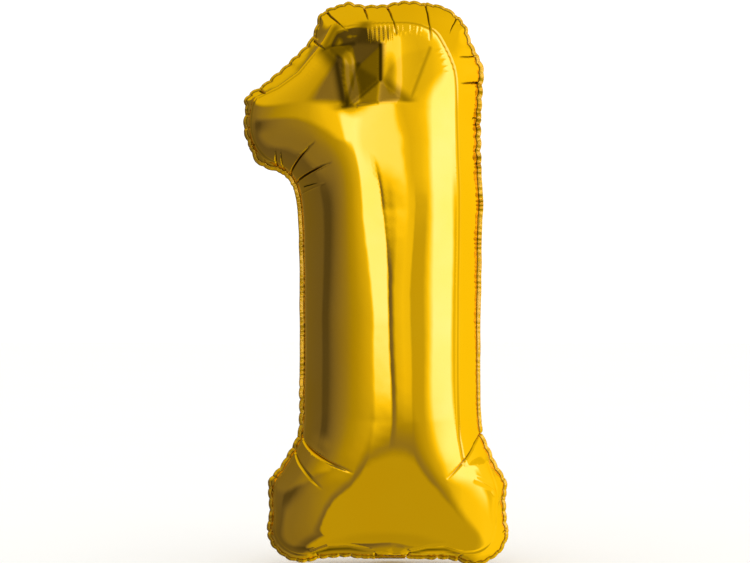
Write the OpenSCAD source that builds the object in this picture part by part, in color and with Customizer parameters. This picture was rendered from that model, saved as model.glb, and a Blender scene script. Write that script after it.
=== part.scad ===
// Inflated foil balloon in the shape of the numeral 1.
// Two flat metallised films are heat sealed to each other all round, filled through a flat
// neck at the foot of the numeral and closed by a thin self-sealing film valve.
// Millimetres, +Z up, the front faces -Y. The seam lies in the plane y = 0.
// The origin is the tie point: the middle of the neck's fold line, under the stem's centre line.

/* [Numeral outline, measured to the outer edge of the seam flange] */
// Height from the foot to the crown
height = 860; // [400:5:1200]
// Width of the upright stem
stem_w = 274; // [200:2:320]
// Reach of the foot to the left of the stem's centre line
foot_left = 192; // [170:1:220]
// Reach of the foot to the right of the stem's centre line
foot_right = 176; // [160:1:220]
// Height of the foot's shoulders, where its sides turn in towards the stem
shoulder_h = 128; // [110:1:150]
// Height at which the foot has narrowed to the stem
waist_h = 188; // [170:1:230]
// Reach of the flag (the short arm) to the left of the stem's centre line
flag_reach = 227; // [200:1:240]
// Height of the flag's underside at its tip
flag_low = 622; // [560:1:660]
// Height of the flag's tip at its upper corner
flag_high = 716; // [690:1:730]
// Height at which the flag's slope meets the crown's left corner
notch_h = 802; // [790:1:815]
// Reach of the crown to the left of the stem's centre line
crown_left = 118; // [110:1:124]

/* [Inflated body] */
// Front to back thickness of the inflated stem
depth = 262; // [200:2:300]
// Length over which the foot swells from the seam to the full thickness
foot_swell = 230; // [150:5:300]
// Length over which the crown swells from the seam to the full thickness
crown_swell = 300; // [150:5:400]
// Drawn thickness of the metallised film
foil_t = 0.5; // [0.4:0.05:0.8]
// Width of the heat-sealed flange
flange_w = 7.5; // [5:0.5:12]

/* [Filling neck] */
// Width of the flat neck
neck_w = 46; // [36:1:60]
// Length of the neck from its fold line to its mouth
neck_l = 80; // [60:1:110]
// Width of the weld along each side of the neck
neck_weld_w = 5; // [4:0.5:7]

/* [Self-sealing valve] */
// Width of the flat valve sleeve
valve_w = 32; // [24:1:34]
// Length of the sleeve inside the inflated body
valve_inner_l = 88; // [60:1:110]
// Length of the sleeve inside the neck
valve_outer_l = 56; // [30:1:58]
// Width of the weld along each side of the sleeve
valve_weld_w = 3; // [2:0.5:4]
// Drawn thickness of the clear valve film
valve_t = 0.25; // [0.2:0.05:0.3]

/* [Hidden] */

// Half the thickness of the seal, which is the gap between the two panels' rims
seal_half = 0.6;
// Height of the seam line above the neck's fold line, so that the folded neck clears the body
fold_drop = 1.7;
// Clearance between pieces that move apart
clear = 0.2;
// Steps along one rounded corner of the outline
corner_steps = 9;
// Height between two rings of the body
ring_pitch = 16;
// Rings packed into each end, where the body closes towards its seam
end_rings = 6;
// Height of each of those closely ringed ends
end_h = 40;
// Spans from one side of a panel to the other along a ring
ring_spans = 13;
// Depth of a panel at its first and last ring
lip = 0.7;
// Half the width of the gap that the seal leaves for the neck
neck_gap = neck_w / 2 + 1;

foil_colour = [0.86, 0.66, 0.13];
seal_colour = [0.80, 0.58, 0.10];
clear_colour = [0.85, 0.90, 0.92, 0.6];

// Corners of the numeral as [x, z, rounding radius], clockwise from the foot's left corner
corners = [
    [-foot_left, 0, 46],
    [-foot_left - 2, shoulder_h, 34],
    [-stem_w / 2, waist_h + 6, 26],
    [-stem_w / 2, flag_low - 34, 34],
    [-flag_reach + 4, flag_low - 4, 30],
    [-flag_reach, flag_high, 30],
    [-crown_left - 2, notch_h, 16],
    [-crown_left, height - 4, 26],
    [26, height, 160],
    [stem_w / 2 - 4, height - 12, 78],
    [stem_w / 2, waist_h, 24],
    [foot_right, shoulder_h, 36],
    [foot_right - 2, 0, 48]
];

function unit(v) = v / norm(v);
function mix(a, b, t) = a + (b - a) * t;

// The tangent arc of radius r that rounds corner b of the path a, b, c, as points
function corner_arc(a, b, c, r) =
    let (
        u = unit(a - b),
        v = unit(c - b),
        half = acos(u * v) / 2,
        centre = b + unit(u + v) * r / sin(half),
        from = b + u * r / tan(half) - centre,
        to = b + v * r / tan(half) - centre,
        turn = acos(unit(from) * unit(to)),
        side = from[0] * to[1] - from[1] * to[0] > 0 ? 1 : -1
    )
    [for (k = [0 : corner_steps])
        let (q = side * turn * k / corner_steps)
        centre + [
            from[0] * cos(q) - from[1] * sin(q),
            from[0] * sin(q) + from[1] * cos(q)
        ]
    ];

function corner(k) =
    let (p = corners[(k + len(corners)) % len(corners)])
    [p[0], p[1]];

// The flange's outer edge, in the frame of the part
outer_edge = [for (k = [0 : len(corners) - 1])
    each [for (p = corner_arc(corner(k - 1), corner(k), corner(k + 1), corners[k][2]))
        p + [0, fold_drop - flange_w]
    ]
];

// Inward normal of a closed clockwise outline at its point k
function inward(pts, k) =
    let (
        n = len(pts),
        along = unit(pts[(k + 1) % n] - pts[(k + n - 1) % n])
    )
    [along[1], -along[0]];

function inset(pts, d) = [for (k = [0 : len(pts) - 1]) pts[k] + inward(pts, k) * d];

// The seam line, where the two films part
seam = inset(outer_edge, flange_w);
seam_heights = [for (p = seam) p[1]];
seam_low = min(seam_heights);
seam_high = max(seam_heights);

// Where a level line at height z crosses the seam
function crossings(z) = [for (k = [0 : len(seam) - 1])
    let (a = seam[k], b = seam[(k + 1) % len(seam)])
    if ((a[1] - z) * (b[1] - z) <= 0 && a[1] != b[1])
        mix(a[0], b[0], (z - a[1]) / (b[1] - a[1]))
];

// Heights of the rings: close together at both ends, evenly spaced between
function eased(k) = end_h * (1 - cos(90 * k / end_rings));
mid_rings = round((seam_high - seam_low - 2 * end_h) / ring_pitch);
levels = concat(
    [for (k = [0 : end_rings - 1]) seam_low + eased(k)],
    [for (k = [0 : mid_rings]) mix(seam_low + end_h, seam_high - end_h, k / mid_rings)],
    [for (k = [end_rings - 1 : -1 : 0]) seam_high - eased(k)]
);

// Swelling of an end as part of the full depth, at a height h from that end
function swell(h, reach) = sqrt(1 - pow(1 - min(1, h / reach), 2));
function half_depth(z) =
    lip + (depth / 2 - seal_half - lip)
        * swell(z - seam_low, foot_swell) * swell(seam_high - z, crown_swell);

// One ring of a panel's outer surface, from the left seam round the front to the right seam
function ring(z) =
    let (
        level = min(max(z, seam_low + 0.02), seam_high - 0.02),
        xs = crossings(level),
        left = min(xs),
        right = max(xs)
    )
    [for (j = [0 : ring_spans])
        let (q = 180 * j / ring_spans)
        [
            (left + right) / 2 - (right - left) / 2 * cos(q),
            -seal_half - half_depth(z) * sin(q),
            z
        ]
    ];

outer_grid = [for (z = levels) ring(z)];
rows = len(outer_grid);
cols = ring_spans + 1;

function at(i, j) = outer_grid[min(max(i, 0), rows - 1)][min(max(j, 0), cols - 1)];

// Inner face of the film, one wall thickness in; the rims stay flat on the seal
function inner_point(i, j) =
    let (
        across = at(i, j + 1) - at(i, j - 1),
        up = at(i + 1, j) - at(i - 1, j),
        n = cross(across, up),
        flat = (j == 0 || j == cols - 1) ? [n[0], 0, n[2]] : n
    )
    at(i, j) - unit(flat) * foil_t;

function index(i, j) = i * cols + j;

module film_shell() {
    count = rows * cols;
    points = concat(
        [for (i = [0 : rows - 1]) for (j = [0 : cols - 1]) at(i, j)],
        [for (i = [0 : rows - 1]) for (j = [0 : cols - 1]) inner_point(i, j)]
    );
    skins = [for (i = [0 : rows - 2]) for (j = [0 : cols - 2])
        let (a = index(i, j), b = index(i, j + 1), c = index(i + 1, j + 1), d = index(i + 1, j))
        each [[a, c, b], [a, d, c], [a + count, b + count, c + count], [a + count, c + count, d + count]]
    ];
    side_rims = [for (i = [0 : rows - 2])
        let (
            a = index(i, 0), b = index(i + 1, 0),
            c = index(i, cols - 1), d = index(i + 1, cols - 1)
        )
        each [[a, a + count, b + count], [a, b + count, b], [c, d + count, c + count], [c, d, d + count]]
    ];
    end_rims = [for (j = [0 : cols - 2])
        let (
            a = index(0, j), b = index(0, j + 1),
            c = index(rows - 1, j), d = index(rows - 1, j + 1)
        )
        each [[a, b + count, a + count], [a, b, b + count], [c, c + count, d + count], [c, d + count, d]]
    ];
    polyhedron(points, concat(skins, side_rims, end_rims));
}

// A flat sheet in a plane of constant y: w wide about x = 0, from z0 up to z1, from y0 to y1
module sheet(w, z0, z1, y0, y1) {
    translate([-w / 2, y0, z0])
        cube([w, y1 - y0, z1 - z0]);
}

// The neck is drawn hanging straight down and folded back under the body
module folded_back() {
    rotate([90, 0, 0])
        children();
}

module front_panel() {
    color(foil_colour)
        film_shell();
}

module back_panel() {
    color(foil_colour)
        mirror([0, 1, 0])
            film_shell();
}

// The heat-sealed flange, open where the neck passes through it
module perimeter_seal() {
    under = fold_drop - flange_w - 5;
    color(seal_colour)
        difference() {
            rotate([90, 0, 0])
                linear_extrude(height = 2 * seal_half, center = true)
                    difference() {
                        polygon(outer_edge);
                        polygon(inset(seam, foil_t + 0.5));
                    }
            sheet(2 * neck_gap, under, seam_low + 8, -2, 2);
        }
}

// Distances of the neck's layers from its middle plane
valve_inner_face = clear;
valve_outer_face = valve_inner_face + valve_t;
ply_outer_face = valve_outer_face + foil_t;
neck_top = -0.5;

module neck_back_ply() {
    color(foil_colour)
        folded_back()
            sheet(neck_w, -neck_l, neck_top, valve_outer_face, ply_outer_face);
}

module neck_front_ply() {
    color(foil_colour)
        folded_back()
            sheet(neck_w, -neck_l, neck_top, -ply_outer_face, -valve_outer_face);
}

// The welds between the two plies; they stay with the back ply and stop at the flared mouth
module neck_side_welds() {
    flare = 10;
    color(seal_colour)
        folded_back()
            for (side = [-1, 1])
                translate([side * (neck_w - neck_weld_w) / 2, 0, 0])
                    sheet(neck_weld_w, flare - neck_l, neck_top, clear - 0.35, valve_outer_face);
}

// The perimeter weld carried across the neck: each panel is fused to its own valve ply
module valve_root_welds() {
    root_h = 3.4;
    color(seal_colour)
        for (side = [0, 1])
            mirror([0, side, 0])
                sheet(2 * neck_gap, seam_low, seam_low + root_h, clear / 2, seal_half);
}

valve_root = seam_low + 3.9;

module valve_inner_front_ply() {
    color(clear_colour)
        sheet(valve_w, valve_root, valve_root + valve_inner_l, -valve_outer_face, -valve_inner_face);
}

module valve_inner_back_ply() {
    color(clear_colour)
        sheet(valve_w, valve_root, valve_root + valve_inner_l, valve_inner_face, valve_outer_face);
}

module valve_inner_edge_welds() {
    color(clear_colour)
        for (side = [-1, 1])
            translate([side * (valve_w - valve_weld_w) / 2, 0, 0])
                sheet(valve_weld_w, valve_root, valve_root + valve_inner_l, -0.1, valve_inner_face);
}

module valve_outer_front_ply() {
    color(clear_colour)
        folded_back()
            sheet(valve_w, -valve_outer_l, neck_top, -valve_outer_face, -valve_inner_face);
}

module valve_outer_back_ply() {
    color(clear_colour)
        folded_back()
            sheet(valve_w, -valve_outer_l, neck_top, valve_inner_face, valve_outer_face);
}

front_panel();
back_panel();
perimeter_seal();
neck_front_ply();
neck_back_ply();
neck_side_welds();
valve_root_welds();
valve_inner_front_ply();
valve_inner_back_ply();
valve_inner_edge_welds();
valve_outer_front_ply();
valve_outer_back_ply();
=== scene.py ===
"""A foil number balloon: gold film blown up between two flat cuts, its flange, its neck and its valve."""
import math
import bpy
import numpy as np
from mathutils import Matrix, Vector, geometry


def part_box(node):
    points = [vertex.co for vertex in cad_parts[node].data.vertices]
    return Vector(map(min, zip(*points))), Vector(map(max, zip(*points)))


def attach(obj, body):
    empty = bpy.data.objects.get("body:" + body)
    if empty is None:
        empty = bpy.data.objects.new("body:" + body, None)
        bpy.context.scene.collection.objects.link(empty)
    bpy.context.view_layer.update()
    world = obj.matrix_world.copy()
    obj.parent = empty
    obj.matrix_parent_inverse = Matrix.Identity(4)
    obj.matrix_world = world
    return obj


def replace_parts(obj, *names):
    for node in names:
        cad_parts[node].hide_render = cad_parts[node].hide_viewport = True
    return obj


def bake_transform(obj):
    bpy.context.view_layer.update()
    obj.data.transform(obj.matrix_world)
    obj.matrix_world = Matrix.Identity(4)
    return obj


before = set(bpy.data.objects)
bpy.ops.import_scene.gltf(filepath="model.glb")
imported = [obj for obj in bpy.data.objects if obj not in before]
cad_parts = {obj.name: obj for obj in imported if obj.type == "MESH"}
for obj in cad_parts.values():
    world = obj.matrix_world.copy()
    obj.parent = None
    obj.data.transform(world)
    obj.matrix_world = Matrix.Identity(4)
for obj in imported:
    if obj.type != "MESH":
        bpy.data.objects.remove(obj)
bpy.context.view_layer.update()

MM = 0.001
SEED = 3

# ---------------------------------------------------------------- sizes, in millimetres
STEM_Z = (250, 500)      # the stretch of straight stem, in the flat cut
FLANGE_W = 7.5           # heat-sealed flange
FLANGE_T = 0.5
FILM_T = 0.3
STRIP_T = 0.12           # the neck's and the valve's films
SIDE_WELD_W = 5.0        # the welds along the neck's sides
VALVE_WELD_W = 3.0       # the welds along the valve's sides
SEAM_ROOT = 1.7          # the seam's height where the neck joins it
NECK_GAP = 24            # half the stretch of flange left open for the neck
ROOT_TOP = 3.4           # height at which the film leaves the seam and bends back into the neck
ROOT_REACH = 2.6         # how far back that bend reaches
ROOT_LOW = 0.2           # height at which it runs on into the neck
FLOOR_Z = -14.0
FLOOR_RADIUS = 12000.0

# Corners of each panel's flat cut along the seam, clockwise from the foot: x, z and rounding radius.
CUT = [
    (-212, -26, 85), (-5, -44, 500), (194, -26, 85), (213, 112, 70), (193, 200, 100), (195, 560, 400),
    (182, 771, 180), (127, 876, 105), (46, 905, 200), (-80, 903, 60), (-124, 887, 32), (-152, 853, 60),
    (-261, 747, 38), (-271, 688, 70), (-259, 636, 45), (-215, 588, 60), (-209, 200, 100), (-236, 107, 80),
]
COARSE = 18.0            # spacing of the film's first grid

# Cracks where the film folds in at the seam: flat x and z at the seam, then at the inner end, depth and
# half width.
CRACKS = [
    ((-152, 846), (-99, 779), 3.2, 2.4),
    ((-116, 888), (-66, 808), 3.2, 2.4),
    ((-44, 904), (-36, 829), 3.6, 2.4),
    ((-2, 904), (6, 796), 3.6, 2.4),
    ((72, 900), (55, 789), 3.6, 2.4),
    ((128, 874), (98, 815), 2.4, 2.2),
    ((170, 796), (113, 777), 3.0, 2.2),
    ((182, 746), (109, 731), 3.4, 2.2),
    ((190, 690), (168, 685), 2.4, 2.0),
    ((-240, 763), (-208, 734), 3.4, 2.4),
    ((-270, 690), (-246, 692), 2.2, 2.4),
    ((-266, 660), (-240, 664), 2.6, 2.4),
    ((-240, 612), (-200, 652), 3.2, 2.2),
    ((-228, 602), (-190, 649), 3.0, 2.2),
    ((-218, 594), (-122, 646), 4.6, 2.6),
    ((-210, 580), (-97, 611), 4.6, 2.6),
    ((-170, 575), (-127, 580), 1.6, 2.0),
    ((-232, 98), (-212, 96), 2.4, 2.4),
    ((-226, 30), (-205, 32), 2.8, 2.4),
    ((-128, -36), (-128, 4), 3.2, 2.6),
    ((-31, -44), (-31, 12), 5.0, 2.8),
    ((24, -44), (24, 12), 5.0, 2.8),
    ((110, -38), (110, 8), 3.2, 2.6),
    ((208, 34), (184, 36), 2.8, 2.4),
    ((218, 90), (196, 92), 2.2, 2.4),
]
# Longer curved folds: points in the flat cut, depth, half width. A negative depth stands out.
FOLDS = [
    ([(-207, 200), (-160, 184), (-103, 165), (-62, 153)], 4.4, 3.2),
    ([(-210, 176), (-150, 148), (-108, 124)], 2.0, 4.0),
    ([(-206, 560), (-150, 571), (-112, 579)], 0.9, 3.0),
    ([(197, 200), (151, 187), (105, 164), (74, 142)], 4.4, 3.2),
    ([(124, 134), (158, 114), (178, 84)], -2.2, 6.0),
    ([(-30, 618), (-25, 580), (-21, 540), (-17, 490), (-15, 440)], -0.3, 9.0),
    ([(-134, 12), (-104, 28), (-76, 31), (-32, 19)], -3.0, 3.6),
    ([(-30, 10), (-4, 2), (22, 10)], -2.4, 4.0),
    ([(24, 20), (50, 31), (76, 33), (108, 17)], -3.0, 3.6),
    ([(-130, 2), (-104, 13), (-72, 16), (-36, 5)], 1.8, 20.0),
    ([(29, 5), (50, 16), (78, 18), (104, 3)], 1.8, 20.0),
]
# The roll along the rim: place along the seam as a share of its length from the neck, then the roll's width
# and how flat it is.
ROLL = [
    (0.0, 45, 0.05), (0.09, 45, 0.05), (0.144, 40, 0.05), (0.15, 92, 0.07), (0.30, 92, 0.09),
    (0.36, 86, 0.1), (0.42, 84, 0.11), (0.455, 82, 0.11), (0.52, 80, 0.11), (0.535, 58, 0.11),
    (0.55, 64, 0.1), (0.575, 72, 0.1), (0.59, 60, 0.1), (0.605, 34, 0.1), (0.65, 26, 0.1),
    (0.68, 20, 0.08), (0.75, 24, 0.05), (0.90, 24, 0.05), (1.0, 45, 0.05),
]


# ---------------------------------------------------------------- the film
def rounded_outline(corners, step):
    """A closed outline with rounded corners, as points about step apart."""
    pts = []
    for k, (x, z, r) in enumerate(corners):
        here = np.array((x, z), float)
        a = np.array(corners[k - 1][:2], float) - here
        b = np.array(corners[(k + 1) % len(corners)][:2], float) - here
        reach = 0.49 * min(np.linalg.norm(a), np.linalg.norm(b))
        a /= np.linalg.norm(a)
        b /= np.linalg.norm(b)
        half = math.acos(float(a @ b)) / 2
        cut = min(r / math.tan(half), reach)
        r = cut * math.tan(half)
        centre = here + (a + b) / np.linalg.norm(a + b) * r / math.sin(half)
        start, end = here + a * cut - centre, here + b * cut - centre
        a0 = math.atan2(start[1], start[0])
        turn = (math.atan2(end[1], end[0]) - a0 + math.pi) % (2 * math.pi) - math.pi
        for q in a0 + turn * np.linspace(0, 1, 3 + int(abs(turn) * r / step * 2)):
            pts.append(centre + r * np.array((math.cos(q), math.sin(q))))
    closed = np.array(pts + pts[:1])
    along = np.r_[0, np.cumsum(np.linalg.norm(np.diff(closed, axis=0), axis=1))]
    at = np.linspace(0, along[-1], round(along[-1] / step), endpoint=False)
    return np.stack([np.interp(at, along, closed[:, k]) for k in (0, 1)], axis=1)


def lattice(outline, step):
    """A triangular lattice of points inside the outline, a little clear of it."""
    low, high = outline.min(0), outline.max(0)
    rise = step * math.sqrt(3) / 2
    xs = np.arange(low[0], high[0], step)
    rows = [np.stack([xs + step / 2 * (k % 2), np.full(len(xs), z)], 1)
            for k, z in enumerate(np.arange(low[1], high[1], rise))]
    pts = np.concatenate(rows)
    inside = np.zeros(len(pts), bool)
    gap = np.full(len(pts), np.inf)
    for p, q in zip(outline, np.roll(outline, -1, axis=0)):
        level = (p[1] > pts[:, 1]) != (q[1] > pts[:, 1])
        if p[1] != q[1]:
            inside ^= level & (pts[:, 0] < p[0] + (pts[:, 1] - p[1]) * (q[0] - p[0]) / (q[1] - p[1]))
        gap = np.minimum(gap, segment_gap(pts, p, q)[0])
    return pts[inside & (gap > 0.62 * step)]


def segment_gap(pts, p, q):
    """Each point's distance from segment p-q, and the share of the segment at its closest place."""
    t = np.clip(((pts - p) @ (q - p)) / ((q - p) @ (q - p)), 0, 1)
    return np.linalg.norm(pts - p - t[:, None] * (q - p), axis=1), t


def one_of_each(rows):
    """Sorts rows of integer pairs, and returns the unique pairs and each row's place among them."""
    key = rows[:, 0].astype(np.int64) * (rows.max() + 1) + rows[:, 1]
    found, place = np.unique(key, return_inverse=True)
    return np.stack([found // (rows.max() + 1), found % (rows.max() + 1)], 1), place.reshape(-1)


def in_batches(pairs, lengths, count):
    """Splits springs into batches in which no vertex appears twice, so that a batch moves at once."""
    used = [0] * count
    batch = []
    for i, j in pairs.tolist():
        taken = used[i] | used[j]
        k = (~taken & (taken + 1)).bit_length() - 1
        used[i] |= 1 << k
        used[j] |= 1 << k
        batch.append(k)
    batch = np.array(batch)
    return [(*pairs[batch == k].T, lengths[batch == k]) for k in range(batch.max() + 1)]


def pull(x, i, j, length, short, long):
    """Moves the ends of springs i-j towards their length, by the shares for short and for long springs."""
    d = x[j] - x[i]
    now = np.sqrt(d[:, 0] * d[:, 0] + d[:, 1] * d[:, 1] + d[:, 2] * d[:, 2])
    error = now - length
    d *= (np.where(error < 0, short, long) * 0.5 * error / now)[:, None]
    x[i] += d
    x[j] -= d


class Film:
    """Two flat panels joined along their seam. front marks the triangles of the front panel."""

    def __init__(self, outline, step):
        inner = lattice(outline, step)
        n, m = len(outline), len(inner)
        flat = np.concatenate([outline, inner])
        ring = [(k, (k + 1) % n) for k in range(n)]
        out = geometry.delaunay_2d_cdt([Vector(p) for p in flat], ring, [], 1, 1e-4)
        place = np.array([ids[0] for ids in out[3]])
        tris = place[np.array(out[2])]
        u = flat[tris[:, 1]] - flat[tris[:, 0]]
        w = flat[tris[:, 2]] - flat[tris[:, 0]]
        if (u[:, 0] * w[:, 1] - u[:, 1] * w[:, 0]).sum() < 0:
            tris = tris[:, ::-1]
        back = np.where(tris < n, tris, tris + m)[:, ::-1]
        self.outline = outline
        self.flat = np.concatenate([flat, inner])
        self.tris = np.concatenate([tris, back])
        self.front = np.arange(len(self.tris)) < len(tris)
        self.side = np.r_[np.zeros(n, int), np.full(m, -1), np.full(m, 1)]
        self.seam = np.arange(n)
        self.x = np.stack([self.flat[:, 0], 2.0 * self.side, self.flat[:, 1]], 1)
        self.v = np.zeros_like(self.x)
        self.join()

    def join(self):
        """Finds the edges, the two vertices across each, and the order that sums over triangle corners."""
        t = self.tris
        rows = np.sort(np.concatenate([t[:, [0, 1]], t[:, [1, 2]], t[:, [2, 0]]]), axis=1)
        self.edges, self.place = one_of_each(rows)
        across = np.concatenate([t[:, 2], t[:, 0], t[:, 1]])
        self.across = across[np.argsort(self.place, kind="stable")].reshape(-1, 2)
        self.on_seam = self.side[self.across].prod(axis=1) < 0
        self.corner_order = np.argsort(t.ravel(), kind="stable")
        self.corner_starts = np.r_[0, np.flatnonzero(np.diff(t.ravel()[self.corner_order])) + 1]

    def area_vectors(self):
        """For each vertex, the sum of its triangles' area vectors."""
        x, (ia, ib, ic) = self.x, self.tris.T
        u, w = x[ib] - x[ia], x[ic] - x[ia]
        cross = np.empty_like(u)
        cross[:, 0] = u[:, 1] * w[:, 2] - u[:, 2] * w[:, 1]
        cross[:, 1] = u[:, 2] * w[:, 0] - u[:, 0] * w[:, 2]
        cross[:, 2] = u[:, 0] * w[:, 1] - u[:, 1] * w[:, 0]
        shares = np.repeat(cross / 2, 3, axis=0)[self.corner_order]
        return np.add.reduceat(shares, self.corner_starts, axis=0)

    def normals(self):
        """Each vertex's unit normal."""
        n = self.area_vectors()
        return n / np.linalg.norm(n, axis=1)[:, None]

    def blow(self, steps, pressure, keep=0.985, slack=0.02, fold=0.02):
        """Steps the film under gas pressure. It hardly resists being pushed together, so it stays smooth.
        keep is the share of its speed that a step leaves it. slack is how strongly an edge resists being
        shortened, and fold how strongly two triangles resist closing up."""
        length = np.linalg.norm(self.flat[self.edges[:, 0]] - self.flat[self.edges[:, 1]], axis=1)
        stretch = in_batches(self.edges, length, len(self.x))
        folds = self.across[~self.on_seam]
        span = np.linalg.norm(self.flat[folds[:, 0]] - self.flat[folds[:, 1]], axis=1)
        bend = in_batches(folds, span, len(self.x))
        for _ in range(steps):
            self.v = (self.v + pressure / 3 * self.area_vectors()) * keep
            start = self.x.copy()
            self.x += self.v
            for i, j, rest in bend:
                pull(self.x, i, j, rest, fold, 0.0)
            for i, j, rest in stretch:
                pull(self.x, i, j, rest, slack, 1.0)
            self.v = self.x - start

    def cut(self, chosen, places):
        """Adds a vertex on each chosen edge, at its place in x, and cuts the triangles to suit."""
        count = len(self.x)
        new = np.full(len(self.edges), -1)
        new[chosen] = count + np.arange(chosen.sum())
        ends = self.edges[chosen]
        self.flat = np.concatenate([self.flat, (self.flat[ends[:, 0]] + self.flat[ends[:, 1]]) / 2])
        self.x = np.concatenate([self.x, places])
        self.v = np.concatenate([self.v, np.zeros_like(places)])
        panel = np.zeros(len(self.edges), int)
        np.add.at(panel, self.place, np.tile(np.where(self.front, -1, 1), 3))
        self.side = np.r_[self.side, np.sign(panel[chosen])]
        find = {tuple(p): k for p, k in zip(ends.tolist(), new[chosen].tolist())}
        seam = []
        for p, q in zip(self.seam.tolist(), np.roll(self.seam, -1).tolist()):
            middle = find.get((min(p, q), max(p, q)))
            seam += [p] if middle is None else [p, middle]
        self.seam = np.array(seam)
        a, b, c = self.tris.T
        ab, bc, ca = new[self.place].reshape(3, -1)
        tris, front = [], []

        def keep(rows, *corners):
            tris.append(np.stack([k[rows] for k in corners], 1))
            front.append(self.front[rows])

        cuts = (ab >= 0).astype(int) + (bc >= 0) + (ca >= 0)
        keep(cuts == 0, a, b, c)
        for p, q, r, pq in ((a, b, c, ab), (b, c, a, bc), (c, a, b, ca)):
            one = (cuts == 1) & (pq >= 0)
            keep(one, p, pq, r)
            keep(one, pq, q, r)
        for p, q, r, pq, rp in ((a, b, c, ab, ca), (b, c, a, bc, ab), (c, a, b, ca, bc)):
            two = (cuts == 2) & (pq >= 0) & (rp >= 0)
            keep(two, p, pq, rp)
            keep(two, pq, q, rp)
            keep(two, q, r, rp)
        for corners in ((a, ab, ca), (b, bc, ab), (c, ca, bc), (ab, bc, ca)):
            keep(cuts == 3, *corners)
        self.tris = np.concatenate(tris)
        self.front = np.concatenate(front)
        self.join()

    def halve(self):
        """Cuts each triangle into four and rounds the film off, with Loop's weights. The seam stays a
        curve."""
        x, (a, b), (c, d) = self.x, self.edges.T, self.across.T
        places = 0.375 * (x[a] + x[b]) + 0.125 * (x[c] + x[d])
        places[self.on_seam] = (x[a] + x[b])[self.on_seam] / 2
        total, met = np.zeros_like(x), np.zeros(len(x))
        for p, q in ((a, b), (b, a)):
            np.add.at(total, p, x[q])
            np.add.at(met, p, 1)
        pulled = 0.375
        rounded = (1 - pulled) * x + (pulled / met)[:, None] * total
        s = self.seam
        rounded[s] = 0.75 * x[s] + 0.125 * (x[np.roll(s, 1)] + x[np.roll(s, -1)])
        self.x = rounded
        self.cut(np.ones(len(self.edges), bool), places)

    def refine(self, wanted):
        """Cuts the wanted triangles into four along the film's own curve, and their neighbours to suit."""
        chosen = np.zeros(len(self.edges), bool)
        by_tri = self.place.reshape(3, -1)
        chosen[by_tri[:, wanted]] = True
        n = self.normals()
        a, b = self.edges[chosen].T
        d = self.x[b] - self.x[a]
        bulge = (d * n[a]).sum(1)[:, None] * n[a] - (d * n[b]).sum(1)[:, None] * n[b]
        bulge[self.on_seam[chosen]] = 0
        self.cut(chosen, (self.x[a] + self.x[b]) / 2 - bulge / 8)


def along_seam(film):
    """Each vertex's place along the seam from the neck, as a share of the seam's length, each vertex's
    distance from the seam, and that length."""
    ring = film.outline
    nxt = np.roll(ring, -1, axis=0)
    lengths = np.linalg.norm(nxt - ring, axis=1)
    starts = np.r_[0, np.cumsum(lengths)]
    gap = np.full(len(film.flat), np.inf)
    place = np.zeros(len(film.flat))
    for p, q, start, length in zip(ring, nxt, starts, lengths):
        here, share = segment_gap(film.flat, p, q)
        closer = here < gap
        gap[closer] = here[closer]
        place[closer] = start + share[closer] * length
    bottom = np.abs(ring[:, 0]) + np.abs(ring[:, 1] - ring[:, 1].min())
    neck = starts[bottom.argmin()] - ring[bottom.argmin(), 0]
    return ((place - neck) / starts[-1]) % 1.0, gap, starts[-1]


def blown_film():
    """The balloon's film, blown up from its flat cut."""
    rng = np.random.default_rng(SEED)
    film = Film(rounded_outline(CUT, COARSE), COARSE)
    film.x[:, 1] += rng.normal(0, 0.3, len(film.x))
    film.blow(steps=250, pressure=0.002, keep=0.99)
    film.blow(steps=400, pressure=0.0005)
    film.halve()
    film.blow(steps=300, pressure=0.0004)
    return film


def set_upright(film):
    """Turns the film so that its seam lies in the plane y = 0, its stem upright and its root at SEAM_ROOT."""
    x, seam = film.x, film.seam
    plane = np.c_[x[seam][:, [0, 2]], np.ones(len(seam))]
    across, up, offset = np.linalg.lstsq(plane, x[seam][:, 1], rcond=None)[0]
    normal = Vector((-across, 1, -up)).normalized()
    x[:, 1] -= offset
    film.x = x = x @ np.array(normal.rotation_difference(Vector((0, 1, 0))).to_matrix()).T
    flat = film.flat[seam]
    straight = (flat[:, 1] > STEM_Z[0]) & (flat[:, 1] < STEM_Z[1])
    sides = [seam[straight & (flat[:, 0] * s > 0)] for s in (-1, 1)]
    lean = sum(np.polyfit(x[s, 2], x[s, 0], 1)[0] for s in sides) / 2
    q = math.atan(lean)
    x[:, [0, 2]] = x[:, [0, 2]] @ np.array([[math.cos(q), math.sin(q)], [-math.sin(q), math.cos(q)]])
    x[:, 0] -= sum(x[s, 0].mean() for s in sides) / 2
    root = seam[(np.abs(flat[:, 0]) < 30) & (flat[:, 1] < 0)]
    x[:, 2] += SEAM_ROOT - np.median(x[root, 2])


# ---------------------------------------------------------------- creases
# The crown's sunken facets: nodes as flat x, z and push in mm, and each facet's corners with the strength of
# its painted shade.
NODES = {
    "a": (-73, 684, 0), "m": (-26, 686, 0), "b": (19, 690, 0), "c": (-20, 728, -5), "d": (-18, 782, 0),
    "e": (-84, 758, 0), "h": (-106, 788, 0), "i": (-89, 822, 0), "j": (-41, 820, 0), "k": (8, 818, 0),
    "l": (58, 814, 0), "f": (55, 778, 0), "p": (-53, 752, -6), "q": (-60, 792, -8), "s": (10, 764, -3),
}
FACETS = {
    "amc": 0.3, "mbc": 0.55, "acp": 0.62, "ape": 0.55, "pcd": 0.48, "epq": 0.42, "ehq": 0.6, "hiq": 0.5,
    "ijq": 0.45, "jdq": 0.55, "dpq": 0.4, "cbs": 0.12, "bfs": 0.1, "fls": 0.04, "lks": 0, "kds": 0, "dcs": 0,
    "kjd": 0.15,
}
FACET_RIDGE = "amb"
FACET_RIM = "bflkjihea"
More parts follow.
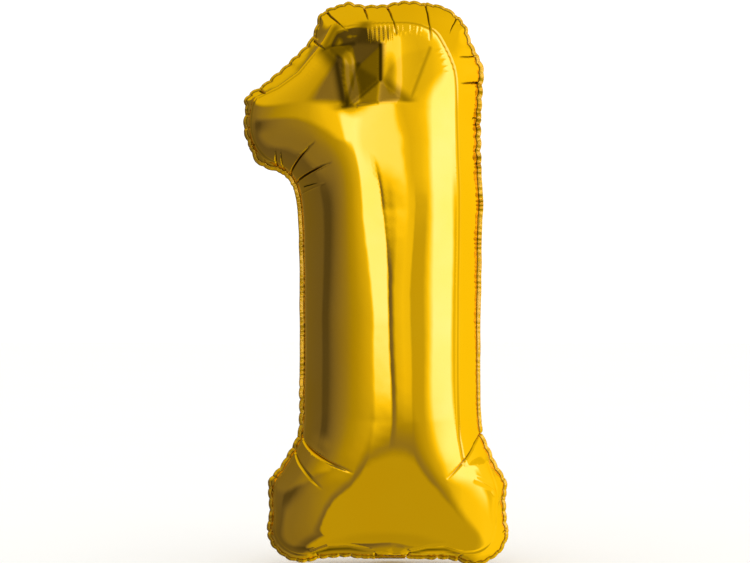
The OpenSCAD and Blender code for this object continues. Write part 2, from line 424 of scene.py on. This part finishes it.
# How far the facets flatten the film, on the front and on the back.
FLATTEN = [(-1, 0.85), (1, 0.55)]
# Painted shade along the creases between the facets: the nodes they join, half width and strength.
SHADOWS = [
    ("jd", 3, 0.4), ("dc", 5.5, 0.75), ("ca", 5, 0.6), ("ae", 7, 0.6), ("cb", 11, 0.5), ("bf", 3, 0.3),
    ("cm", 1.5, 0.45), ("eh", 14, 0.55), ("pq", 7, 0.3), ("hi", 12, 0.5), ("qj", 13, 0.5),
    ("hq", 11, 0.6), ("pa", 11, 0.65),
]
# Fine ribs gathered into the film: start and end along the seam as shares, distances from it, pitch, depth.
COMBS = [
    (0.4835, 0.497, 78, 122, 6.5, 1.1),
    (0.454, 0.4815, 84, 112, 6.5, 0.6),
    (0.385, 0.408, 86, 108, 9.0, 0.5),
    (0.560, 0.573, 70, 98, 6.5, 0.5),
]
# Broad swellings below the foot's folds and in the flag: flat x and z, radius, height.
SWELLS = [(150, 158, 52, 5), (-145, 128, 50, 4), (-205, 638, 75, 11)]
# How the stem's front leans to one side, as a slope by height: in the middle, and left of it.
TWIST = [(120, 0), (230, 0.05), (420, 0), (490, 0.02), (560, 0.04), (640, 0.04), (690, 0)]
LEAN = [(380, 0), (450, -0.06), (540, -0.13), (640, -0.12), (690, 0)]
# Scalloped stretches of the rim: start and end as shares of the seam, pitch and height in mm.
SCALLOPS = [(0.33, 0.66, 21, 2.4), (0.81, 0.97, 19, 2.0), (0.03, 0.155, 19, 2.0)]
RUFFLE_PITCH = 8.5
# How strongly the seam's edge is ruffled, and how far the flange curls back in degrees, along the seam.
RUFFLED = [
    (0, 0.3), (0.2, 0.3), (0.26, 0.5), (0.3, 1.0), (0.36, 1.1), (0.385, 0.4), (0.6, 0.3), (0.7, 0.4),
    (0.78, 0.6), (0.85, 0.4), (1, 0.3),
]
CURL = [
    (0, 45), (0.2, 40), (0.26, 15), (0.37, 10), (0.42, 50), (0.62, 55), (0.68, 20), (0.8, 10),
    (0.85, 45), (1, 45),
]
RUFFLE_H = 0.9           # height of the ruffles where the film meets the seam
RUFFLE_REACH = 7         # how far they reach into the film
BACK_CRACKS = 1.25       # how many times sooner the cracks end on the back, and the folds
BACK_FOLDS = 1.2
VALLEY_HALF = 5          # half width and depth of the valley at the roll's inner edge
VALLEY_DEPTH = 1.5
SEAM_SHADE = 0.85         # painted shade along the seam, and how far it reaches into the film
SEAM_SHADE_REACH = 2.2
SOFT_FOLD = 8            # a fold of this half width or more needs no finer mesh
FACET_EDGE = 2           # how near a facet's edge the mesh is finer
FLANGE_OVERLAP = 0.4     # how far inside the seam the flange starts


def wedge(gap, half):
    """1 on a crease, falling to 0 at half its width from it, with a slightly rounded bottom."""
    return np.clip(1 - np.sqrt(gap * gap + 0.2) / half, 0, 1) ** 1.4


def bell(distance, width):
    """1 at no distance, falling smoothly away over width."""
    return np.exp(-(distance / width) ** 2)


def line_gap(flat, line):
    """Each point's distance from a bent line, and the share of the line at its closest place."""
    line = np.array(line, float)
    lengths = np.linalg.norm(np.diff(line, axis=0), axis=1)
    starts = np.r_[0, np.cumsum(lengths)]
    gap, share = np.full(len(flat), np.inf), np.zeros(len(flat))
    for p, q, start, length in zip(line[:-1], line[1:], starts, lengths):
        here, part = segment_gap(flat, p, q)
        closer = here < gap
        gap[closer] = here[closer]
        share[closer] = (start + part[closer] * length) / starts[-1]
    return gap, share


def beside(flat, start, end):
    """Each point's distance to the left of the line from start to end."""
    (ax, az), (bx, bz) = start, end
    return ((bx - ax) * (flat[:, 1] - az) - (bz - az) * (flat[:, 0] - ax)) / math.hypot(bx - ax, bz - az)


def ruffles(share, length):
    """The uneven waves along the seam's edge, from -1 to 1."""
    turn = 2 * math.pi * share * length / RUFFLE_PITCH
    uneven = turn + 1.1 * np.sin(turn / 3.7) + 0.9 * np.sin(turn / 5.9)
    waves = np.sin(uneven) * (0.6 + 0.4 * np.sin(turn / 7.3))
    return waves * np.interp(share, *np.array(RUFFLED).T)


def window(value, low, high, soft):
    """1 between low and high, falling smoothly to 0 over soft beyond them."""
    t = np.clip(np.minimum(value - low, high - value) / soft + 1, 0, 1)
    return t * t * (3 - 2 * t)


def on_facets(flat, corners):
    """Where points of the flat cut lie on the flat facets between corners, and the strength of their painted
    shade.
    """
    found = np.full((len(flat), 4), np.nan)
    for facet, tone in FACETS.items():
        (ax, az, _), (bx, bz, _), (cx, cz, _) = (NODES[k] for k in facet)
        area = (bx - ax) * (cz - az) - (bz - az) * (cx - ax)
        u = ((flat[:, 0] - ax) * (cz - az) - (flat[:, 1] - az) * (cx - ax)) / area
        w = ((bx - ax) * (flat[:, 1] - az) - (bz - az) * (flat[:, 0] - ax)) / area
        inside = (u >= 0) & (w >= 0) & (u + w <= 1)
        a, b, c = (corners[k] for k in facet)
        found[inside, :3] = (a + u[:, None] * (b - a) + w[:, None] * (c - a))[inside]
        found[inside, 3] = tone
    return found


def dent(film):
    """Draws the crown's film towards flat facets with rounded edges. Returns each vertex's painted shade: the
    facets' tones and shaded strokes along the creases between them.
    """
    normals = film.normals()
    facet_shade = np.zeros(len(film.x))
    ridge, border = (np.array([NODES[k][:2] for k in line], float) for line in (FACET_RIDGE, FACET_RIM))
    low, high = border.min(axis=0) - 40, border.max(axis=0) + 40
    # each vertex takes the mean of the facets on a small disc round it, which rounds their edges
    turns = np.arange(8) * math.pi / 4
    disc = [(0.0, 0.0)] + [(r * math.cos(q), r * math.sin(q)) for r in (2, 4.5) for q in turns]
    for side, strength in FLATTEN:
        panel = np.flatnonzero((film.side == side) & ((film.flat > low) & (film.flat < high)).all(axis=1))
        flat = film.flat[panel]
        corners = {}
        for name, (x, z, push) in NODES.items():
            closest = panel[np.abs(flat - (x, z)).sum(axis=1).argmin()]
            corners[name] = film.x[closest] + push * normals[closest]
        places = [on_facets(flat + np.array(p), corners) for p in disc]
        inside = np.isfinite(places).all(axis=(0, 2))
        middle = np.mean(places, axis=0)[inside]
        chosen = panel[inside]
        # the facets fade out at their ridge, at their border and towards the right
        below = np.clip((line_gap(flat, ridge)[0][inside] - 1) / 7, 0, 1)
        rim = line_gap(flat, border)[0][inside]
        edge = window(rim, 26, 999, 24)
        softer = 1 - window(flat[inside, 0], 14, 999, 34)
        share = strength * softer * np.minimum(below, edge)
        film.x[chosen] += share[:, None] * (middle[:, :3] - film.x[chosen])
        # painted shade: each facet's tone, fading out at its ridge and rim
        facet_shade[chosen] = middle[:, 3] * np.minimum(below, window(rim, 8, 999, 10))
        above = np.clip(beside(flat, ridge[0], ridge[-1]) / 5, 0, 1)
        # painted shade along the creases between the facets, only above the ridge
        for pair, half, depth in SHADOWS:
            off = line_gap(flat, [NODES[k][:2] for k in pair])[0]
            facet_shade[panel] = np.maximum(facet_shade[panel], depth * above * bell(off, half))
    return facet_shade


def crease(film, painted_shade):
    """Works the cracks, folds, roll, ribs and scallops into the smooth film, and adds painted shade in the
    cracks, folds, the roll's valley and along the seam to the shade it is given, which the foil's material
    darkens by.
    On the back the creases end sooner."""
    share, gap, length = along_seam(film)
    flat, back = film.flat, film.side > 0
    push = np.zeros(len(flat))
    for start, end, depth, half in CRACKS:
        off, place = line_gap(flat, (start, end))
        fade = np.clip(1 - (place * np.where(back, BACK_CRACKS, 1.0)) ** 3, 0, 1)
        push -= depth * fade * (wedge(off, half) + 0.25 * bell(off, 5 * half))
        push += 0.22 * depth * fade * bell(beside(flat, start, end) - 1.5 * half, 0.6 * half)
        # painted shade down each crack
        painted_shade = np.maximum(painted_shade, 1.8 * fade * wedge(off, 0.9 * half))
    for line, depth, half in FOLDS:
        off, place = line_gap(flat, line)
        fade = np.clip(1 - (place * np.where(back, BACK_FOLDS, 1.0)) ** 4, 0, 1)
        push -= depth * fade * (wedge(off, half) + 0.3 * bell(off, 4 * half))
        if depth > 0:
            # painted shade along the sunken folds
            painted_shade = np.maximum(painted_shade, min(1.2, 0.4 * depth) * fade * wedge(off, 0.6 * half))
    # the roll along the rim, with a valley at its inner edge
    places, widths, flatness = np.array(ROLL).T
    width = np.interp(share, places, widths)
    part = np.clip(gap / width, 0, 1)
    valley = wedge(np.abs(gap - width), VALLEY_HALF)
    push -= np.interp(share, places, flatness) * width * 4 * part * (1 - part) + VALLEY_DEPTH * valley
    push += 0.5 * bell(gap - width + 6, 1.8)
    # painted shade in the roll's valley
    painted_shade = np.maximum(painted_shade, 0.35 * valley * window(share, 0.16, 0.66, 0.02))
    for low, high, near, far, pitch, depth in COMBS:
        ribs = np.abs(np.sin(math.pi * share * length / pitch)) - 0.6
        push += 2 * depth * ribs * window(share, low, high, 4 / length) * window(gap, near + 4, far - 14, 12)
    for low, high, pitch, height in SCALLOPS:
        bumps = np.abs(np.sin(math.pi * share * length / pitch)) - 0.6
        push += height * bumps * window(share, low, high, 40 / length) * np.exp(-gap / 8)
    # broad swellings, the lean of the stem's front, and a faint unevenness
    x, z = flat.T
    for sx, sz, reach, height in SWELLS:
        push += height * np.exp(-((x - sx) ** 2 + (z - sz) ** 2) / reach ** 2)
    push += np.interp(z, *np.array(TWIST).T) * x * bell(x, 80)
    push += np.interp(z, *np.array(LEAN).T) * (x + 40) * bell(x + 40, 50)
    sway = np.sin(x / 31 + 1.3 * np.sin(z / 67)) * np.sin(z / 53 + 0.8) + 0.6 * np.sin(x / 17 - z / 41)
    push += 0.22 * sway * np.clip(gap / 40, 0, 1)
    # painted shade along the seam
    painted_shade = np.maximum(painted_shade, SEAM_SHADE * bell(gap, SEAM_SHADE_REACH))
    film.x += push[:, None] * film.normals()
    film.x[:, 1] += RUFFLE_H * ruffles(share, length) * np.exp(-gap / RUFFLE_REACH)
    return painted_shade


def near_creases(film, reach, rim, fine=False):
    """Marks the triangles within reach of a crease's edge, or within rim of the seam. Soft folds are left
    out, and fine also leaves out the raised folds, the ribs, the roll's edge and the facets."""
    share, gap, length = along_seam(film)
    near = gap < rim
    for start, end, _, half in CRACKS:
        near |= line_gap(film.flat, (start, end))[0] < half + reach
    for line, depth, half in FOLDS:
        if half < SOFT_FOLD and (depth > 0 or not fine):
            near |= line_gap(film.flat, line)[0] < half + reach
    if not fine:
        for low, high, inner, outer, _, _ in COMBS:
            near |= (window(share, low, high, 4 / length) > 0) & (gap > inner - 6) & (gap < outer)
        near |= np.abs(gap - np.interp(share, *np.array(ROLL).T[:2])) < VALLEY_HALF
        for facet in FACETS:
            for p, q in zip(facet, facet[1:] + facet[0]):
                near |= line_gap(film.flat, (NODES[p][:2], NODES[q][:2]))[0] < FACET_EDGE
    return near[film.tris].any(axis=1)


# ---------------------------------------------------------------- meshes
def mesh_object(name, points, faces, thickness=0.0, offset=0.0):
    """A named object from points in mm, thickened into a closed sheet where thickness isn't 0."""
    mesh = bpy.data.meshes.new(name)
    mesh.from_pydata((np.asarray(points) * MM).tolist(), [], faces)
    mesh.update()
    mesh.shade_smooth()
    obj = bpy.data.objects.new(name, mesh)
    bpy.context.scene.collection.objects.link(obj)
    if thickness:
        solid = obj.modifiers.new("film_thickness", "SOLIDIFY")
        solid.thickness = thickness * MM
        solid.offset = offset
    return obj


def shade(obj, values):
    """Stores each vertex's painted shade, by which the foil's material darkens its colour."""
    folds = obj.data.attributes.new("painted_fold_shade", "FLOAT", "POINT")
    folds.data.foreach_set("value", values.astype(np.float32))


def panel_object(name, film, chosen, painted_shade):
    """One panel of the film."""
    tris = film.tris[chosen]
    used = np.unique(tris)
    place = np.zeros(len(film.x), int)
    place[used] = np.arange(len(used))
    obj = mesh_object(name, film.x[used], place[tris].tolist(), FILM_T, -1)
    shade(obj, painted_shade[used])
    return obj


def seam_outward(film):
    """The direction that carries the film on outward from each vertex of the seam."""
    x, seam = film.x, film.seam
    out = np.zeros_like(x)
    for a, b in (film.edges.T, film.edges.T[::-1]):
        inward = x[b] - x[a]
        inward /= np.linalg.norm(inward, axis=1)[:, None]
        chosen = (film.side[a] == 0) & (film.side[b] != 0)
        np.add.at(out, a[chosen], -inward[chosen])
    out = out[seam]
    along = np.roll(x[seam], -2, axis=0) - np.roll(x[seam], 2, axis=0)
    along /= np.linalg.norm(along, axis=1)[:, None]
    for _ in range(10):
        out -= (out * along).sum(1)[:, None] * along
        out /= np.linalg.norm(out, axis=1)[:, None]
        out = out + np.roll(out, 1, axis=0) + np.roll(out, -1, axis=0)
    return out / np.linalg.norm(out, axis=1)[:, None]


def flange_object(film):
    """The heat-sealed flange: a ruffled strip that carries on outward from the seam and curls back."""
    share, _, length = along_seam(film)
    out = seam_outward(film)
    middle, share = film.x[film.seam], share[film.seam]
    order = np.roll(np.arange(len(share)), -int(np.argmin(share)))
    order = order if share[order[1]] < share[order[-2]] else order[::-1]
    order = order[(share[order] > NECK_GAP / length) & (share[order] < 1 - NECK_GAP / length)]
    out, share = out[order], share[order]
    wave = ruffles(share, length)
    curl = np.interp(share, *np.array(CURL).T)
    steps = np.linspace(0, 1, 6)
    width = FLANGE_W / (len(steps) - 1)
    p = middle[order] - out * FLANGE_OVERLAP
    points = [p]
    for step in steps[1:]:
        q = np.radians(curl) * (0.5 + 0.8 * step)
        p = p + (out * np.cos(q)[:, None] + np.array((0, 1, 0)) * np.sin(q)[:, None]) * width
        p[:, 1] += 0.5 * wave * step
        points.append(p)
    n = len(order)
    faces = [(r * n + k, r * n + k + 1, (r + 1) * n + k + 1, (r + 1) * n + k)
             for r in range(len(points) - 1) for k in range(n - 1)]
    obj = mesh_object("seam_flange", np.concatenate(points), faces, FLANGE_T, 0)
    # painted shade: strongest at the flange's root, and more in the troughs of its ruffles
    root = 0.6 * np.exp(-steps * FLANGE_W / 1.3) + 0.08 * steps
    shade(obj, np.repeat(root, n) + 0.35 * np.tile(np.clip(-wave, 0, 1), len(points)))
    return obj


def neck_wave(x, y):
    """The shared gentle waviness of the neck's layers, in mm; none at the fold."""
    t = np.clip((y - 6) / 60, 0, 1)
    return t * t * (0.9 * np.sin(y / 9 + x / 21) + 0.5 * np.sin(x / 6.5 + y / 17))


def strip_object(name, boxes, thickness, corner=4.0, step=1.6):
    """Thin sheets, one for each box. The neck's lying layers take its waves and have a round-cornered
    mouth."""
    points, faces, count = [], [], 0
    for low, high in boxes:
        size = high - low
        long = 1 if size[1] > size[2] else 2
        across, lengthways = (max(2, int(round(size[k] / step))) for k in (0, long))
        lines = np.meshgrid(np.linspace(-0.5, 0.5, across + 1), np.linspace(0, 1, lengthways + 1))
        u, w = (line.ravel() for line in lines)
        grid = np.repeat((low + high)[None] / 2, len(u), axis=0)
        grid[:, long] = low[long] + w * size[long]
        width = np.full(len(u), size[0])
        if long == 1:
            rounded = np.clip(1 - (1 - w) * size[1] / corner, 0, 1)
            width -= 2 * corner * (1 - np.sqrt(1 - rounded ** 2)) * (size[0] > 3 * corner)
            grid[:, 0] += u * width
            grid[:, 2] += neck_wave(grid[:, 0], grid[:, 1])
        else:
            grid[:, 0] += u * width
        k = np.arange(across * lengthways)
        first = count + k // across * (across + 1) + k % across
        faces.append(np.stack([first, first + 1, first + across + 2, first + across + 1], 1))
        points.append(grid)
        count += len(grid)
    return mesh_object(name, np.concatenate(points), np.concatenate(faces).tolist(), thickness, 0)


def node_boxes(node, side_width=None):
    """A node's box in mm, or the two boxes at its sides."""
    low, high = (np.array(v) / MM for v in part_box(node))
    if side_width is None:
        return [(low, high)]
    left_high = np.array((low[0] + side_width, *high[1:]))
    right_low = np.array((high[0] - side_width, *low[1:]))
    return [(low, left_high), (right_low, high)]


def root_fold_object():
    """The bend of film that carries the seam's root into the folded-back neck."""
    half, across = NECK_GAP - 1.0, 30
    drop = ROOT_TOP - ROOT_LOW
    profile = [(0.0, ROOT_TOP + 1.6)]
    for q in np.linspace(0, math.pi / 2, 9):
        profile.append((ROOT_REACH * (1 - math.cos(q)), ROOT_TOP - drop * math.sin(q)))
    profile.append((ROOT_REACH + 2.2, ROOT_LOW))
    xs = np.linspace(-half, half, across + 1)
    points = [(x, y, z + 0.12 * math.sin(x / 2.6)) for y, z in profile for x in xs]
    n = across + 1
    faces = [(r * n + k, r * n + k + 1, (r + 1) * n + k + 1, (r + 1) * n + k)
             for r in range(len(profile) - 1) for k in range(across)]
    obj = mesh_object("neck_root_fold", points, faces, 0.5, 0)
    # painted shade, even over the whole bend
    shade(obj, np.full(len(points), 0.45))
    return obj


# ---------------------------------------------------------------- materials
def add_node(tree, kind, **values):
    """A node, with its named input sockets set from values or linked from other sockets."""
    node = tree.nodes.new(kind)
    for name, value in values.items():
        slot = node.inputs[name.replace("_", " ")]
        if isinstance(value, bpy.types.NodeSocket):
            tree.links.new(value, slot)
        else:
            slot.default_value = value
    return node


def new_material(name):
    """An empty material, its node tree and its output node."""
    material = bpy.data.materials.new(name)
    material.use_nodes = True
    tree = material.node_tree
    tree.nodes.clear()
    return material, tree, tree.nodes.new("ShaderNodeOutputMaterial")


def noise(tree, scale, detail=3.0, stretch=(1, 1, 1)):
    """Noise fixed to the piece."""
    place = tree.nodes.new("ShaderNodeTexCoord").outputs["Object"]
    mapped = add_node(tree, "ShaderNodeMapping", Vector=place, Scale=stretch).outputs[0]
    return add_node(tree, "ShaderNodeTexNoise", Vector=mapped, Scale=scale, Detail=detail).outputs["Fac"]


def ranged(tree, value, low, high, from_low=0.3, from_high=0.7):
    """A value carried from its own range to low and high; the default range is that of noise."""
    node = add_node(tree, "ShaderNodeMapRange", Value=value, From_Min=from_low, From_Max=from_high,
                    To_Min=low, To_Max=high)
    return node.outputs["Result"]


def blended(tree, share, a, b):
    """A colour between a and b."""
    node = tree.nodes.new("ShaderNodeMix")
    node.data_type = "RGBA"
    for index, value in ((0, share), (6, a), (7, b)):
        if isinstance(value, bpy.types.NodeSocket):
            tree.links.new(value, node.inputs[index])
        else:
            node.inputs[index].default_value = value
    return node.outputs[2]


GOLD = (1.0, 0.62, 0.06, 1)
PALE_GOLD = (1.0, 0.64, 0.1, 1)
# the near-black gold that the painted shade in folds, cracks and seams goes towards
SHADE_GOLD = (0.04, 0.025, 0.003, 1)


def foil(name, roughness, emboss=None):
    """Gold metallised film: a thin lacquer over metal, with painted shade darkening its colour in its folds,
    cracks and seam.
    """
    material, tree, output = new_material(name)
    folds = tree.nodes.new("ShaderNodeAttribute")
    folds.attribute_name = "painted_fold_shade"
    tone = ranged(tree, noise(tree, 9.0), 0.0, 1.0)
    colour = blended(tree, tone, GOLD, PALE_GOLD)
    # painted shade: the colour falls towards near-black gold where the stored shade is high
    colour = blended(tree, ranged(tree, folds.outputs["Fac"], 0.0, 1.0, 0.03, 0.7), colour, SHADE_GOLD)
    rough = ranged(tree, noise(tree, 26.0, 4.0), roughness * 0.7, roughness * 1.4)
    height = math_node(tree, "MULTIPLY", noise(tree, 90.0, 2.0, (1, 1, 0.45)), 0.6)
    height = math_node(tree, "ADD", height, math_node(tree, "MULTIPLY", noise(tree, 420.0, 2.0), 0.12))
    distance = 0.00006
    if emboss:
        place = tree.nodes.new("ShaderNodeTexCoord").outputs["Object"]
        wave = add_node(tree, "ShaderNodeTexWave", Vector=place, Scale=emboss, Distortion=0.6, Detail=1.0)
        wave.bands_direction = "DIAGONAL"
        height = math_node(tree, "ADD", height, wave.outputs["Fac"])
        distance = 0.00015
    bump = add_node(tree, "ShaderNodeBump", Height=height, Strength=0.6, Distance=distance)
    surface = add_node(tree, "ShaderNodeBsdfPrincipled", Base_Color=colour, Metallic=1.0, Roughness=rough,
                       Specular_Tint=(1.0, 0.86, 0.4, 1), Coat_Weight=0.06, Coat_Roughness=0.04,
                       Normal=bump.outputs[0])
    tree.links.new(surface.outputs[0], output.inputs["Surface"])
    return material


def clear_film():
    """Thin milky polyethylene, clearer where it is taut."""
    material, tree, output = new_material("clear_valve_film")
    cloud = ranged(tree, noise(tree, 60.0, 4.0, (1, 1, 0.3)), 0.28, 0.5)
    rough = ranged(tree, noise(tree, 140.0), 0.12, 0.3)
    bump = add_node(tree, "ShaderNodeBump", Height=noise(tree, 200.0, 2.0), Strength=0.4, Distance=0.0001)
    surface = add_node(tree, "ShaderNodeBsdfPrincipled", Base_Color=(0.86, 0.89, 0.92, 1), Roughness=rough,
                       IOR=1.5, Alpha=cloud, Normal=bump.outputs[0])
    tree.links.new(surface.outputs[0], output.inputs["Surface"])
    return material


def pale_floor():
    """A matt pale surface, hardly mottled."""
    material, tree, output = new_material("pale_studio_floor")
    colour = blended(tree, noise(tree, 3.0), (0.93, 0.93, 0.925, 1), (0.95, 0.95, 0.945, 1))
    surface = add_node(tree, "ShaderNodeBsdfPrincipled", Base_Color=colour, Roughness=0.9)
    tree.links.new(surface.outputs[0], output.inputs["Surface"])
    return material


# ---------------------------------------------------------------- studio
def math_node(tree, operation, *values):
    """A math node's output; a value is a number or another node's output."""
    node = tree.nodes.new("ShaderNodeMath")
    node.operation = operation
    for slot, value in zip(node.inputs, values):
        if isinstance(value, (int, float)):
            slot.default_value = value
        else:
            tree.links.new(value, slot)
    return node.outputs[0]


# Brightness by azimuth in degrees: 0 is the camera's side, +90 is the camera's right.
LOWER_WALL = [
    (-180, 0.4), (-150, 0.16), (-104, 0.13), (-90, 0.24), (-78, 0.24), (-65, 0.27), (-32, 0.42), (-18, 0.5),
    (38, 0.5), (48, 0.62), (62, 0.95), (80, 1.02), (150, 1.0), (180, 0.5),
]
WALL = [
    (-180, 0.5), (-150, 0.18), (-105, 0.15), (-101, 0.09), (-92, 0.09), (-82, 0.18), (-62, 0.31), (-45, 0.47),
    (-29, 0.7), (-26, 0.82), (-23, 1.56), (-5, 1.55), (-4, 0.7), (-3, 0.13), (0, 0.2), (4, 0.78), (14, 0.92),
    (23, 0.86), (25, 0.56), (42, 0.58), (48, 0.9), (58, 1.6), (88, 1.62), (94, 0.8), (98, 0.8), (102, 1.05),
    (150, 0.98), (180, 0.5),
]
UPPER_WALL = [
    (-180, 0.4), (-150, 0.2), (-105, 0.22), (-82, 0.33), (-70, 0.44), (-57, 0.58), (-46, 0.85), (-36, 0.95),
    (-32, 1.55), (-18, 1.58), (-10, 1.4), (12, 1.32), (16, 0.85), (22, 0.74), (36, 0.84), (46, 1.0),
    (56, 1.62), (98, 1.62), (103, 1.1), (150, 1.0), (180, 0.5),
]
CEILING = [
    (-180, 0.72), (-95, 0.72), (-80, 0.64), (-62, 0.52), (-52, 0.22), (-30, 0.24), (-16, 0.5), (-8, 1.0),
    (-3, 1.2), (10, 1.25), (18, 0.92), (30, 0.8), (40, 0.74), (52, 0.8), (64, 1.0), (72, 1.6), (98, 1.6),
    (110, 0.86), (180, 0.72),
]
# The elevation of the floor's edge by azimuth.
FLOOR_EDGE = [(-180, -80), (-62, -66), (-40, -30), (-24, -16), (24, -18), (50, -30), (90, -62), (180, -80)]
TOP = 2.0
CAMERA = (-0.0237, -3.2, 0.425)


def studio_world():
    """Plain white light on everything, and a banded studio that only the foil mirrors."""
    world = bpy.data.worlds.new("studio_world")
    bpy.context.scene.world = world
    world.use_nodes = True
    tree = world.node_tree
    tree.nodes.clear()
    place = tree.nodes.new("ShaderNodeTexCoord").outputs["Generated"]
    split = tree.nodes.new("ShaderNodeSeparateXYZ")
    tree.links.new(place, split.inputs[0])
    x, y, z = split.outputs
    turn = math_node(tree, "ARCTAN2", x, math_node(tree, "MULTIPLY", y, -1.0))
    turn = math_node(tree, "MULTIPLY_ADD", turn, 0.5 / math.pi, 0.5)
    rise = math_node(tree, "MULTIPLY", math_node(tree, "ARCSINE", z), 180 / math.pi)

    def around(levels, low=0.0, high=TOP):
        """A level by azimuth, from a table of values between low and high."""
        node = tree.nodes.new("ShaderNodeValToRGB")
        elements = node.color_ramp.elements
        while len(elements) < len(levels):
            elements.new(0.5)
        for element, (azimuth, level) in zip(elements, levels):
            element.position = (azimuth + 180) / 360
            share = (level - low) / (high - low)
            element.color = (share, share, share, 1)
        tree.links.new(turn, node.inputs[0])
        return math_node(tree, "MULTIPLY_ADD", node.outputs[0], high - low, low)

    def step(value, low, high):
        """A smooth rise from 0 at low to 1 at high."""
        node = tree.nodes.new("ShaderNodeMapRange")
        node.interpolation_type = "SMOOTHSTEP"
        node.inputs["From Min"].default_value = low
        node.inputs["From Max"].default_value = high
        tree.links.new(value, node.inputs["Value"])
        return node.outputs["Result"]

    def mixed(a, b, share):
        """A number between a and b."""
        return math_node(tree, "MULTIPLY_ADD", math_node(tree, "SUBTRACT", b, a), share, a)

    level = mixed(around(LOWER_WALL), around(WALL), step(rise, -18, -1))
    level = mixed(level, around(UPPER_WALL), step(rise, 1, 9))
    level = mixed(level, around(CEILING), step(rise, 20, 27))
    level = mixed(level, 0.75, step(rise, 60, 76))
    above = math_node(tree, "SUBTRACT", rise, around(FLOOR_EDGE, -90.0, 0.0))
    floor = mixed(0.44, 0.5, step(rise, -86, -72))
    level = math_node(tree, "MULTIPLY", level, mixed(0.55, 1.0, step(above, 1, 14)))
    level = mixed(floor, level, step(above, -3, 2))
    # the lights are whiter than the walls, and the darkest parts are greyer
    paint = tree.nodes.new("ShaderNodeCombineColor")
    tree.links.new(level, paint.inputs[0])
    bright = step(level, 0.98, 1.75)
    tree.links.new(math_node(tree, "MULTIPLY", level, mixed(0.865, 0.905, bright)), paint.inputs[1])
    blue = mixed(mixed(0.8, 0.04, step(level, 0.1, 0.42)), 1.55, bright)
    tree.links.new(math_node(tree, "MULTIPLY", level, blue), paint.inputs[2])
    studio = tree.nodes.new("ShaderNodeBackground")
    tree.links.new(paint.outputs[0], studio.inputs["Color"])
    plain = tree.nodes.new("ShaderNodeBackground")
    plain.inputs["Color"].default_value = (1, 1, 0.995, 1)
    plain.inputs["Strength"].default_value = 1.12
    rays = tree.nodes.new("ShaderNodeLightPath")
    pick = tree.nodes.new("ShaderNodeMixShader")
    tree.links.new(rays.outputs["Is Glossy Ray"], pick.inputs["Fac"])
    tree.links.new(plain.outputs[0], pick.inputs[1])
    tree.links.new(studio.outputs[0], pick.inputs[2])
    output = tree.nodes.new("ShaderNodeOutputWorld")
    tree.links.new(pick.outputs[0], output.inputs["Surface"])


def floor_disc():
    """A wide, round pale floor, left out of what the foil mirrors."""
    count = 64
    rings = np.array([300.0, 1200.0, 4000.0, FLOOR_RADIUS])
    turns = np.arange(count) * 2 * math.pi / count
    points = [(r * math.cos(q), r * math.sin(q), FLOOR_Z) for r in rings for q in turns]
    faces = []
    for ring in range(len(rings) - 1):
        for k in range(count):
            here, after = ring * count + k, ring * count + (k + 1) % count
            faces.append((here, here + count, after + count, after))
    points.append((0.0, 0.0, FLOOR_Z))
    middle = len(points) - 1
    faces += [(middle, k, (k + 1) % count) for k in range(count)]
    obj = mesh_object("studio_floor", points, faces)
    obj.data.materials.append(pale_floor())
    obj.visible_glossy = False


def camera():
    """The view from straight in front, level with the middle of the figure."""
    data = bpy.data.cameras.new("main_camera")
    data.lens = 100
    data.sensor_width = 36
    obj = bpy.data.objects.new("main_camera", data)
    bpy.context.scene.collection.objects.link(obj)
    obj.location = CAMERA
    obj.rotation_euler = (math.pi / 2, 0, 0)
    bpy.context.scene.camera = obj


# ---------------------------------------------------------------- assembly
def fitted(obj, body, material, slot, *nodes):
    """Gives a piece its material, its body and the nodes that it stands for. A piece that bends between two
    bodies has no body of its own."""
    obj.data.materials.append(material)
    if body:
        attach(obj, body)
    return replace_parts(obj, *nodes) if nodes else obj


gold_foil = foil("gold_foil_film", 0.035)
sealed_foil = foil("sealed_foil_flange", 0.12, emboss=620)
valve_film = clear_film()

film = blown_film()
set_upright(film)
film.halve()
film.refine(near_creases(film, reach=0.5, rim=3.0))
film.refine(near_creases(film, reach=-1.0, rim=0.8, fine=True))
# the painted shade of the crown's facets, then of the cracks, folds, roll's valley and seam
painted_shade = crease(film, dent(film))

for name, node, chosen in (
    ("front_foil", "front_panel", film.front),
    ("back_foil", "back_panel", ~film.front),
):
    panel = fitted(panel_object(name, film, chosen, painted_shade), "envelope", gold_foil, "gold_foil", node)

fitted(flange_object(film), "envelope", sealed_foil, "sealed_foil", "perimeter_seal")

for node, name, body, material, slot, side_width in (
    ("neck_front_ply", "neck_front_foil", "neck_front", gold_foil, "gold_foil", None),
    ("neck_back_ply", "neck_back_foil", "neck", gold_foil, "gold_foil", None),
    ("neck_side_welds", "neck_side_welds_foil", "neck", sealed_foil, "sealed_foil", SIDE_WELD_W),
    ("valve_root_welds", "valve_root_weld_foil", "envelope", sealed_foil, "sealed_foil", None),
    ("valve_inner_front_ply", "valve_inner_front_film", "valve_front", valve_film, "clear_film", None),
    ("valve_inner_back_ply", "valve_inner_back_film", "valve_back", valve_film, "clear_film", None),
    ("valve_inner_edge_welds", "valve_inner_edge_film", "valve_back", valve_film, "clear_film", VALVE_WELD_W),
    ("valve_outer_front_ply", "valve_outer_front_film", "neck_front", valve_film, "clear_film", None),
    ("valve_outer_back_ply", "valve_outer_back_film", "neck", valve_film, "clear_film", None),
):
    fitted(strip_object(name, node_boxes(node, side_width), STRIP_T), body, material, slot, node)
bend = fitted(root_fold_object(), None, gold_foil, "gold_foil")
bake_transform(bend)

studio_world()
floor_disc()
camera()
bpy.context.scene.view_settings.view_transform = "Standard"
